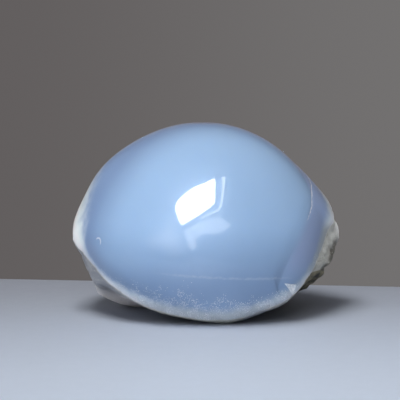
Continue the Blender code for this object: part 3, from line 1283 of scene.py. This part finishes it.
        low = paint.fall(high, self.edge_right_top)
        closed = paint.most(paint.times(right, low), paint.times(bottom, self.edge_bottom_loss))
        shown = paint.times(paint.scaled(show, *self.edge_gain, clamp=True), paint.flip(closed))
        edge = effects.line(paint, paint.field(Field.RIM_GAP), self.edge_line)
        edge = paint.times(edge, shown)
        paint.coat(edge, self.edge_white)
        return pale, edge

    def arc(self, paint: Paint, effects: Effects) -> Socket:
        """Draw the small crescent mark on the left of the face.

        Args:
            paint: The material's bench.
            effects: The shared node groups.

        Returns:
            Its mask.
        """
        inputs = {0: paint.where, 1: self.arc_middle}
        away = paint.add("ShaderNodeVectorMath", inputs, operation="SUBTRACT").outputs[0]
        length = paint.add("ShaderNodeVectorMath", {0: away}, operation="LENGTH").outputs["Value"]
        ring = paint.calc("SUBTRACT", paint.calc("DIVIDE", length, MM), self.arc_radius)
        across, _, high = paint.parts(away)
        side = paint.step(paint.calc("ADD", across, high), self.arc_side)
        return paint.times(effects.line(paint, ring, self.arc_line), side)

    def lay_marks(self, paint: Paint, effects: Effects) -> Socket:
        """Lay the crease's chips with a painted glint along them, the crescent, the chipped triangle and
        the level line.

        Args:
            paint: The material's bench.
            effects: The shared node groups.

        Returns:
            The mask of the chipped triangle.
        """
        # Painted glint along the crease, over its small chips.
        seam = effects.line(paint, paint.field(Field.CREASE), self.crease_line)
        seam = paint.times(seam, paint.field(Field.CREASE_SHOW))
        arc = paint.times(self.arc(paint, effects), self.arc_show)
        paint.coat(paint.most(seam, arc), self.chip_and_glint_white)
        chip = paint.fall(paint.field(Field.CHIP), self.chip_edge)
        flakes = paint.step(paint.clouds(paint.where, self.flakes), self.flake_edge)
        paint.coat(paint.times(chip, paint.between(flakes, *self.flake_show)), self.chip_blue)

        across, deep, high = paint.across_deep_high
        gap = paint.calc("SUBTRACT", paint.scaled(across, self.band_slant, high), self.band_height)
        band = effects.line(paint, paint.calc("DIVIDE", gap, MM), self.band_line)
        front = paint.times(paint.fall(deep, self.band_deep), paint.step(across, self.band_across))
        paint.coat(paint.times(band, front, self.band_show), self.sugar_white)
        return chip

    def make(self, effects: Effects) -> bpy.types.Material:
        """Build the material.

        Args:
            effects: The shared node groups.

        Returns:
            The material.
        """
        paint = Paint("polished_chalcedony", self.low_shade_blue)
        self.lay_blue(paint, effects)
        pale, edge = self.lay_margin(paint, effects)
        sugar = paint.field(Field.SUGAR)
        amount = paint.calc("MULTIPLY", sugar, self.sugar_gain, clamp=True)
        grains, frost = effects.frosting(paint, amount, self.sugar_scale)
        paint.coat(paint.times(grains, self.sugar_show), self.sugar_white)
        chip = self.lay_marks(paint, effects)

        dull = paint.most(paint.times(pale, self.pale_dull), paint.times(sugar, self.sugar_dull))
        dull = paint.most(dull, paint.most(edge, chip))
        scuffs = paint.times(paint.clouds(paint.where, self.scuffs), self.scuff_height)
        height = paint.calc("ADD", paint.times(frost, sugar), scuffs)
        return paint.finish({
            "Roughness": paint.between(dull, self.gloss, self.frosted),
            "Normal": paint.bump(height, *self.bump),
            "IOR": REFRACTION,
            "Subsurface Weight": self.glow,
            "Subsurface Scale": self.glow_reach,
            "Subsurface Radius": self.glow_tint,
            "Coat Weight": self.haze,
            "Coat Roughness": self.haze_roughness,
        })


@dataclass(frozen=True)
class RoughBack:
    """Unworked back: pale rind, a translucent grey lobe, and olive matrix."""

    name: str
    glow: float
    glow_reach: float

    rind: Colour = (0.36, 0.37, 0.345)
    rind_pale: Colour = (0.60, 0.61, 0.58)
    close_clouds: Span = (520.0, 2.0)
    # Painted shade: the rind darkens low down on the right.
    rind_painted_shade: Colour = (0.16, 0.165, 0.155)
    rind_shade_top: Span = (0.014, 0.021)
    rind_shade_show: float = 0.5
    blue_show: Colour = (0.30, 0.35, 0.42)
    broad_clouds: Span = (90.0, 2.4)
    blue_edge: Span = (0.5, 0.8)
    blue_share: float = 0.75

    lobe: Colour = (0.235, 0.255, 0.29)
    # Pale pink-grey: the lobe's own streaks, and at its foot also a painted glow of light through the
    # stone.
    lobe_streak_and_glow: Colour = (0.94, 0.91, 0.91)
    streak_turn: Corner = (0.5, 0.35, 0.9)
    streak_squeeze: Corner = (1.0, 1.0, 6.0)
    streaks: Clouds = Clouds(120.0, 4.0, 0.6)
    streak_edge: Span = (0.4, 0.68)
    streak_show: float = 0.1
    lobe_glow_top: Span = (0.002, 0.009)
    lobe_glow_show: float = 0.9

    dark_brown: Colour = (0.17, 0.145, 0.11)
    pit_edge: Span = (-1.1, 0.1)
    pit_show: float = 0.8
    stain_edge: Span = (0.58, 0.68)
    stain_show: float = 0.7
    seam_brown: Colour = (0.12, 0.11, 0.09)
    seam_show: Span = (1.2, 0.5)
    knob_white: Colour = (0.96, 0.97, 0.97)
    matrix: Colour = (0.20, 0.18, 0.115)
    matrix_dark: Colour = (0.045, 0.045, 0.036)
    matrix_speckle: Span = (0.3, 0.6)
    matrix_edge: Span = (0.35, 0.6)
    patches: Clouds = Clouds(48.0, 4.0, 0.6)
    patch_edge: Span = (0.6, 0.66)
    patch_gap: Span = (6.0, 14.0)
    edge_line: Line = Line(0.9, 0.6, 0.5)
    edge_show: float = 0.7
    frost_amount: float = 0.35
    frost_scale: float = 1900.0
    frost_show: float = 0.6

    matt: float = 0.72
    waxy: float = 0.34
    waxy_edge: Span = (0.55, 0.8)
    waxy_show: float = 0.9
    crumbs: Clouds = Clouds(1500.0, 4.0, 0.65)
    frost_height: float = 0.3
    streak_height: float = 0.8
    lobe_calm: float = 0.8
    bump: Span = (0.7, 0.0004)
    glow_tint: Colour = (1.0, 1.0, 1.0)

    def lay_rind(self, paint: Paint, close: Socket, broad: Socket) -> None:
        """Lay the rind, with painted shade low on the right, and blue showing through behind.

        Args:
            paint: The material's bench.
            close: Close clouding.
            broad: Broad clouding.
        """
        right = paint.field(Field.RIND)
        paint.coat(close, self.rind_pale)
        # Painted shade low on the right.
        shade = paint.fall(paint.across_deep_high[2], self.rind_shade_top)
        paint.coat(paint.times(shade, right, self.rind_shade_show), self.rind_painted_shade)
        clear = paint.scaled(right, -self.blue_share, self.blue_share)
        paint.coat(paint.times(paint.step(broad, self.blue_edge), clear), self.blue_show)

    def lay_lobe(self, paint: Paint, streaks: Socket) -> None:
        """Lay the lobe's grey with its pale streaks, and paler at its foot, where its own pinkish colour
        carries a painted glow of light through the stone.

        Args:
            paint: The material's bench.
            streaks: The growth streaks.
        """
        # Painted glow at the lobe's foot, over its own paler colour.
        low = paint.times(paint.fall(paint.across_deep_high[2], self.lobe_glow_top), self.lobe_glow_show)
        light = paint.scaled(paint.step(streaks, self.streak_edge), self.streak_show, low)
        grey = paint.blend(paint.calc("MINIMUM", light, 1.0), self.lobe, self.lobe_streak_and_glow)
        paint.coat(paint.field(Field.LOBE), grey)

    def lay_pits_and_stains(self, paint: Paint, bare: Socket, streaks: Socket) -> None:
        """Darken the pits with brown, and lay the stains, the brown seam and the white knob.

        Args:
            paint: The material's bench.
            bare: How far each place is off the lobe.
            streaks: The growth streaks.
        """
        # Darker brown in the low places of the relief.
        pits = paint.fall(paint.field(Field.RELIEF), self.pit_edge)
        paint.coat(paint.times(pits, self.pit_show, bare), self.dark_brown)
        stain = paint.times(paint.step(streaks, self.stain_edge), paint.field(Field.RIND))
        paint.coat(paint.times(stain, self.stain_show), self.dark_brown)
        uneven = paint.between(streaks, *self.seam_show)
        seam = paint.calc("MULTIPLY", paint.field(Field.SEAM), uneven, clamp=True)
        paint.coat(seam, self.seam_brown)
        paint.coat(paint.field(Field.KNOB), self.knob_white)

    def lay_matrix(self, paint: Paint, bare: Socket, close: Socket) -> Socket:
        """Lay the olive matrix, below the ledge and in patches behind.

        Args:
            paint: The material's bench.
            bare: How far each place is off the lobe.
            close: Close clouding.

        Returns:
            Its mask.
        """
        earth = paint.blend(paint.step(close, self.matrix_speckle), self.matrix_dark, self.matrix)
        patch = paint.step(paint.clouds(paint.where, self.patches), self.patch_edge)
        patch = paint.times(patch, paint.step(paint.field(Field.RIM_GAP), self.patch_gap), bare)
        earthy = paint.most(paint.step(paint.field(Field.MATRIX), self.matrix_edge), patch)
        paint.coat(earthy, earth)
        return earthy

    def make(self, effects: Effects) -> bpy.types.Material:
        """Build the material.

        Args:
            effects: The shared node groups.

        Returns:
            The material.
        """
        paint = Paint(self.name, self.rind)
        lobe = paint.field(Field.LOBE)
        bare = paint.flip(lobe)
        broad = effects.clouding(paint, *self.broad_clouds)
        close = effects.clouding(paint, *self.close_clouds)
        turn = {"Vector": paint.where, "Rotation": self.streak_turn, "Scale": self.streak_squeeze}
        streaks = paint.clouds(paint.add("ShaderNodeMapping", turn).outputs[0], self.streaks)
        self.lay_rind(paint, close, broad)
        self.lay_lobe(paint, streaks)
        self.lay_pits_and_stains(paint, bare, streaks)
        earthy = self.lay_matrix(paint, bare, close)
        edge = effects.line(paint, paint.field(Field.RIM_GAP), self.edge_line)
        paint.coat(paint.times(edge, self.edge_show), self.rind_pale)
        grains, frost = effects.frosting(paint, self.frost_amount, self.frost_scale)
        paint.coat(paint.times(grains, paint.flip(earthy), self.frost_show), self.rind_pale)

        waxy = paint.times(paint.most(lobe, paint.step(broad, self.waxy_edge)), self.waxy_show)
        crumbs = paint.clouds(paint.where, self.crumbs)
        height = paint.calc("ADD", crumbs, paint.times(frost, self.frost_height))
        height = paint.calc("ADD", height, paint.times(streaks, self.streak_height))
        height = paint.times(height, paint.scaled(lobe, -self.lobe_calm, 1.0))
        return paint.finish({
            "Roughness": paint.between(waxy, self.matt, self.waxy),
            "Normal": paint.bump(height, *self.bump),
            "IOR": REFRACTION,
            "Subsurface Weight": self.glow,
            "Subsurface Scale": self.glow_reach,
            "Subsurface Radius": self.glow_tint,
        })


@dataclass(frozen=True)
class SugarCrystal:
    """Tiny clear-white quartz grains of the frosting."""

    white: Colour = (0.70, 0.76, 0.84)
    grey: Colour = (0.46, 0.53, 0.63)
    clouds: Span = (2400.0, 2.5)
    roughness: Span = (0.42, 0.28)

    def make(self, effects: Effects) -> bpy.types.Material:
        """Build the material from the shared clouding.

        Args:
            effects: The shared node groups.

        Returns:
            The material.
        """
        paint = Paint("sugar_crystal", self.grey)
        share = effects.clouding(paint, *self.clouds)
        paint.coat(share, self.white)
        return paint.finish({"Roughness": paint.between(share, *self.roughness), "IOR": REFRACTION})


# Sugar grains


@dataclass(frozen=True)
class SugarGrains:
    """Grains of frosting that stand on the margin of the face."""

    per_square_metre: float = 6.0e6
    gathering: float = 2.5
    smallest: float = 0.03 * MM
    largest: float = 0.085 * MM
    seed: int = 4

    def tree(self, finish: bpy.types.Material) -> bpy.types.NodeTree:
        """Build the node tree that scatters the grains.

        Args:
            finish: Material of the grains.

        Returns:
            The tree, with its sizes as named inputs.
        """
        tree = bpy.data.node_groups.new("scatter_sugar", "GeometryNodeTree")
        add_socket(tree, "Stone", "INPUT", "Geometry")
        for name in ("Density", "Smallest", "Largest"):
            add_socket(tree, name, "INPUT")
        add_socket(tree, "Seed", "INPUT", "Int")
        add_socket(tree, "Grains", "OUTPUT", "Geometry")
        bench = Bench(tree)
        given, end = bench.add("NodeGroupInput").outputs, bench.add("NodeGroupOutput")
        seed = given["Seed"]
        sugar = bench.add("GeometryNodeInputNamedAttribute", {"Name": Field.SUGAR.value}, data_type="FLOAT")
        strength = bench.calc("POWER", sugar.outputs["Attribute"], self.gathering)
        scatter = bench.add(
            "GeometryNodeDistributePointsOnFaces",
            {"Mesh": given["Stone"], "Density": bench.times(strength, given["Density"]), "Seed": seed},
        )
        crystal = bench.add("GeometryNodeMeshIcoSphere", {"Radius": 1.0, "Subdivisions": 1})
        turns = {1: (math.tau,) * 3, "Seed": seed}
        turn = bench.add("FunctionNodeRandomValue", turns, data_type="FLOAT_VECTOR")
        sizes = {2: given["Smallest"], 3: given["Largest"], "Seed": seed}
        size = bench.add("FunctionNodeRandomValue", sizes, data_type="FLOAT")
        placed = bench.add(
            "GeometryNodeInstanceOnPoints",
            {"Points": scatter.outputs["Points"], "Instance": crystal.outputs["Mesh"],
             "Rotation": turn.outputs[0], "Scale": size.outputs[1]},
        )
        solid = bench.add("GeometryNodeRealizeInstances", {"Geometry": placed.outputs[0]})
        dressed = bench.add("GeometryNodeSetMaterial", {"Geometry": solid.outputs[0], "Material": finish})
        bench.fill(end, {"Grains": dressed.outputs[0]})
        return tree

    def build(self, stone: bpy.types.Object, finish: bpy.types.Material) -> bpy.types.Object:
        """Scatter the grains over a stone.

        Args:
            stone: The finished stone, whose sugar field says where they grow.
            finish: Material of the grains.

        Returns:
            One plain mesh object with every grain.
        """
        grower = place_object("sugar_grower", stone.data.copy())
        modifier = grower.modifiers.new("scatter", "NODES")
        modifier.node_group = self.tree(finish)
        values = {
            "Density": self.per_square_metre, "Smallest": self.smallest,
            "Largest": self.largest, "Seed": self.seed,
        }
        for item in modifier.node_group.interface.items_tree:
            if item.in_out == "INPUT" and item.name in values:
                modifier[item.identifier] = values[item.name]
        evaluated = grower.evaluated_get(bpy.context.evaluated_depsgraph_get())
        mesh = bpy.data.meshes.new_from_object(evaluated)
        bpy.data.objects.remove(grower, do_unlink=True)
        return place_object("rim_sugar", mesh)


# Studio


@dataclass(frozen=True)
class Card:
    """A flat light card that shows only as a reflection in the polish.

    Below 1, core is the share of the card that shines in full before it fades out.
    """

    name: str
    azimuth: float
    elevation: float
    distance: float
    strength: float
    outline: Points
    core: float = 1.0


STONE_MIDDLE = np.array([-2.0, -22.0, 33.0])
SHINE = "shine"

CARDS = (
    Card("window", -3.0, 32.0, 600.0, 20.0, (
        (200, 320), (130, 270), (70, 230), (10, 200), (-45, 175), (-100, 145), (-155, 115),
        (-210, 80), (-240, 55), (-260, 30), (-255, -15), (-225, -75), (-180, -140), (-145, -135),
        (-65, -110), (20, -75), (85, -40), (185, 30), (190, 155),
    )),
    Card("strip", 15.0, 40.0, 600.0, 6.0, (
        (155, 215), (120, 50), (90, -40), (70, -95), (40, -120), (-20, -140), (-100, -165),
        (-160, -175), (-170, -190), (-105, -180), (-25, -160), (55, -135), (85, -105),
        (115, -40), (150, 55), (205, 220),
    )),
    Card("doorway", 5.0, 8.0, 600.0, 3.1, (
        (-235, 85), (-190, 90), (-55, 130), (50, 150), (130, 170), (195, 165), (235, 145),
        (285, 125), (215, 85), (110, 50), (70, 45), (-10, 50), (-60, 40), (-95, 20),
        (-90, -30), (-130, -60), (-170, -30), (-195, 15), (-230, 65),
    )),
    Card("side_wall", -40.0, 8.0, 250.0, 2.2, (
        (40, 80), (-10, 40), (-45, 20), (-100, -10), (-30, -30), (35, -45), (85, -60),
        (130, -50), (140, -20), (110, 20), (80, 40), (55, 60),
    ), core=0.1),
)


def aim_vector(azimuth: float, elevation: float) -> Array:
    """Return the direction at an azimuth from -Y towards +X, and an elevation."""
    return heading_vector(azimuth - 90.0, elevation)


@dataclass(frozen=True)
class Softbox:
    """A soft round lamp that aims at the stone, and lights one subject."""

    name: str
    azimuth: float
    elevation: float
    distance: float
    width: float
    power: float
    tint: Colour
    lights: Subject


SOFTBOXES = (
    Softbox("overhead", -97.0, 78.5, 420.0, 205.0, 1.65, (1.0, 0.99, 0.97), Subject.TABLE),
    Softbox("front", -12.0, 40.0, 600.0, 300.0, 3.0, (1.0, 1.0, 1.0), Subject.STONE),
    Softbox("low_left", -70.0, 2.0, 600.0, 260.0, 0.7, (1.0, 0.99, 0.98), Subject.STONE),
    Softbox("rear_left", -140.0, 12.0, 600.0, 300.0, 1.9, (1.0, 0.975, 0.95), Subject.STONE),
    Softbox("rear_right", 120.0, 30.0, 600.0, 300.0, 0.92, (1.0, 0.99, 0.97), Subject.STONE),
)


@dataclass(frozen=True)
class TableTop:
    """Plain pale table top, with painted shade: darker away from the window and on the left."""

    near: Colour = (0.68, 0.77, 0.92)
    # Painted shade: the table darkens towards the back, away from the light, and on the left.
    far: Colour = (0.268, 0.288, 0.342)
    far_shade_reach: Span = (-0.17, 0.075)
    shade_and_grain: Colour = (0.2, 0.21, 0.24)
    left_shade_reach: Span = (-0.09, 0.03)
    left_shade_show: Span = (0.18, 0.42)
    grain: Clouds = Clouds(260.0, 4.0, 0.6)
    grain_show: float = 0.05
    roughness: Span = (0.5, 0.62)
    sheen: float = 0.15

    def make(self) -> bpy.types.Material:
        """Build the material.

        Returns:
            The material.
        """
        paint = Paint("table_top", self.near)
        across, deep, _ = paint.across_deep_high
        # Painted shade towards the back and on the left; the grain is the top's own.
        far = paint.step(deep, self.far_shade_reach)
        paint.coat(far, self.far)
        left = paint.times(paint.fall(across, self.left_shade_reach), paint.between(far, *self.left_shade_show))
        paint.coat(left, self.shade_and_grain)
        grain = paint.clouds(paint.where, self.grain)
        paint.coat(paint.times(grain, self.grain_show), self.shade_and_grain)
        roughness = paint.between(grain, *self.roughness)
        return paint.finish({"Roughness": roughness, "Specular IOR Level": self.sheen})


@dataclass(frozen=True)
class Room:
    """The plain background, and the faint light of the room round the stone."""

    wall_left: Colour = (0.122, 0.112, 0.112)
    wall_right: Colour = (0.170, 0.164, 0.163)
    wall_turn: Span = (-0.16, 0.16)
    low_light: Colour = (0.064, 0.060, 0.057)
    high_light: Colour = (0.25, 0.255, 0.27)
    ceiling_rise: Span = (0.1, 1.0)
    behind_light: Colour = (0.20, 0.185, 0.20)
    behind_reach: Span = (0.9, 0.98)

    def build(self) -> None:
        """Give the background its grey, and the room its faint light."""
        world = bpy.data.worlds.new("room")
        bpy.context.scene.world = world
        bench = cleared_bench(world)
        across, deep, high = bench.parts(bench.add("ShaderNodeTexCoord").outputs["Generated"])
        seen = bench.blend(bench.step(across, self.wall_turn), self.wall_left, self.wall_right)
        felt = bench.blend(bench.step(high, self.ceiling_rise), self.low_light, self.high_light)
        rays = bench.add("ShaderNodeLightPath").outputs
        behind = bench.times(bench.step(deep, self.behind_reach), rays["Is Glossy Ray"])
        felt = bench.blend(behind, felt, self.behind_light)
        shade = bench.blend(rays["Is Camera Ray"], felt, seen)
        back = bench.add("ShaderNodeBackground", {"Color": shade, "Strength": 1.0})
        bench.add("ShaderNodeOutputWorld", {"Surface": back.outputs[0]})


@dataclass
class Studio:
    """The table, the soft light, the plain background and the camera."""

    camera_place: Corner = (-2.21, -451.0, 79.63)
    camera_tilt: float = 84.0
    lens: float = 135.0
    sensor: float = 36.0
    seen_depth: Span = (0.01, 20.0)
    table_back: Span = (43.2, -0.125)
    table_reach: float = 700.0
    table_thickness: float = 22.0
    table_bevel: float = 0.8
    bevel_steps: int = 3
    stage: list[bpy.types.Object] = field(default_factory=list)

    def add_mesh(self, name: str, corners: Array, faces: Sequence[Sequence[int]]) -> bpy.types.Object:
        """Add a stage object.

        Args:
            name: The object's name.
            corners: Its points in millimetres.
            faces: The numbers of the points round each face.

        Returns:
            The object.
        """
        mesh = bpy.data.meshes.new(name)
        mesh.from_pydata((corners * MM).tolist(), [], faces)
        mesh.update()
        self.stage.append(place_object(name, mesh))
        return self.stage[-1]

    def table(self) -> bpy.types.Object:
        """Lay the pale table, whose back edge runs slightly askew behind the stone.

        Returns:
            The table.
        """
        reach, deep = self.table_reach, self.table_thickness
        middle, slant = self.table_back
        left, right = middle - reach * slant, middle + reach * slant
        top = [(-reach, -reach, 0.0), (reach, -reach, 0.0), (reach, right, 0.0), (-reach, left, 0.0)]
        bottom = [(x, y, -deep) for x, y, _ in top]
        sides = [(0, 1, 2, 3), (7, 6, 5, 4), (0, 4, 5, 1), (1, 5, 6, 2), (2, 6, 7, 3), (3, 7, 4, 0)]
        table = self.add_mesh("table", np.array(top + bottom), sides)
        bevel = table.modifiers.new("soft_edge", "BEVEL")
        bevel.width = self.table_bevel * MM
        bevel.segments = self.bevel_steps
        table.data.materials.append(TableTop().make())
        return table

    def card(self, card: Card) -> None:
        """Hang one light card, turned towards the stone and seen only in its gloss.

        Args:
            card: The card.
        """
        towards = aim_vector(card.azimuth, card.elevation)
        centre = STONE_MIDDLE + towards * card.distance
        aside = np.cross(np.array([0.0, 0.0, 1.0]), towards)
        aside /= np.linalg.norm(aside)
        upward = np.cross(towards, aside)
        outline = np.array(card.outline, dtype=float)
        count = len(outline)
        faces = [tuple(range(count))]
        shine = np.ones(count, dtype=np.float32)
        if card.core < 1.0:
            middle = outline.mean(axis=0)
            outline = np.concatenate([middle + (outline - middle) * card.core, outline])
            shine = np.concatenate([shine, 0.0 * shine])
            faces += [(i, (i + 1) % count, (i + 1) % count + count, i + count) for i in range(count)]
        corners = np.array([centre + aside * u + upward * v for u, v in outline])
        made = self.add_mesh("card_" + card.name, corners, faces)
        made.data.attributes.new(SHINE, "FLOAT", "POINT").data.foreach_set("value", shine)
        material = bpy.data.materials.new("glow_" + card.name)
        bench = cleared_bench(material)
        strength = bench.add("ShaderNodeAttribute", attribute_name=SHINE).outputs["Fac"]
        inputs = {"Color": (1.0, 1.0, 1.0), "Strength": bench.times(strength, card.strength)}
        glow = bench.add("ShaderNodeEmission", inputs)
        bench.add("ShaderNodeOutputMaterial", {"Surface": glow.outputs[0]})
        made.data.materials.append(material)
        made.visible_camera = made.visible_diffuse = made.visible_shadow = False
        made.visible_transmission = made.visible_volume_scatter = False

    def softbox(self, box: Softbox, subject: Pieces) -> None:
        """Hang one soft lamp, and link it to what it lights.

        Args:
            box: The lamp.
            subject: The objects that it lights.
        """
        light = bpy.data.lights.new(box.name, "AREA")
        light.shape = "DISK"
        light.size = box.width * MM
        light.energy = box.power
        light.color = box.tint
        lamp = place_object(box.name, light)
        towards = aim_vector(box.azimuth, box.elevation)
        lamp.location = Vector((STONE_MIDDLE + towards * box.distance) * MM)
        lamp.rotation_euler = Vector(towards).to_track_quat("Z", "Y").to_euler()
        lamp.visible_camera = lamp.visible_glossy = False
        lit = bpy.data.collections.new("lit_by_" + box.name)
        for made in subject:
            lit.objects.link(made)
        lamp.light_linking.receiver_collection = lit

    def camera(self) -> None:
        """Stand the camera at the photograph's viewing angle."""
        data = bpy.data.cameras.new("camera")
        data.lens = self.lens
        data.sensor_width = self.sensor
        data.clip_start, data.clip_end = self.seen_depth
        camera = place_object("camera", data)
        camera.location = Vector(self.camera_place) * MM
        camera.rotation_euler = (math.radians(self.camera_tilt), 0.0, 0.0)
        bpy.context.scene.camera = camera

    def build(self, pieces: Pieces) -> None:
        """Set up the stage, the lights and the camera round the stone.

        Args:
            pieces: The stone's pieces.
        """
        subjects = {Subject.STONE: pieces, Subject.TABLE: [self.table()]}
        for card in CARDS:
            self.card(card)
        for box in SOFTBOXES:
            self.softbox(box, subjects[box.lights])
        Room().build()
        self.camera()
        bpy.context.scene.view_settings.view_transform = "Standard"


def main() -> None:
    """Build the stone and its frosting, dress them, and set up the studio."""
    logging.basicConfig(level=logging.INFO, format="%(message)s")
    effects = Effects(SugarFrosting().group(), Mottle().group(), Hairline().group())
    stone = Stone().build()
    stone.data.materials.append(PolishedFace().make(effects))
    stone.data.materials.append(RoughBack("rough_back", 0.3, 0.003).make(effects))
    stone.data.materials.append(RoughBack("grey_lobe", 0.9, 0.011).make(effects))
    log.info("stone: %d faces", len(stone.data.polygons))
    grains = SugarGrains().build(stone, SugarCrystal().make(effects))
    log.info("rim sugar: %d faces", len(grains.data.polygons))
    for piece in (stone, grains):
        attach(piece, BODY)
    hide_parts(NODE)
    Studio().build([stone, grains])


if __name__ == "__main__":
    main()
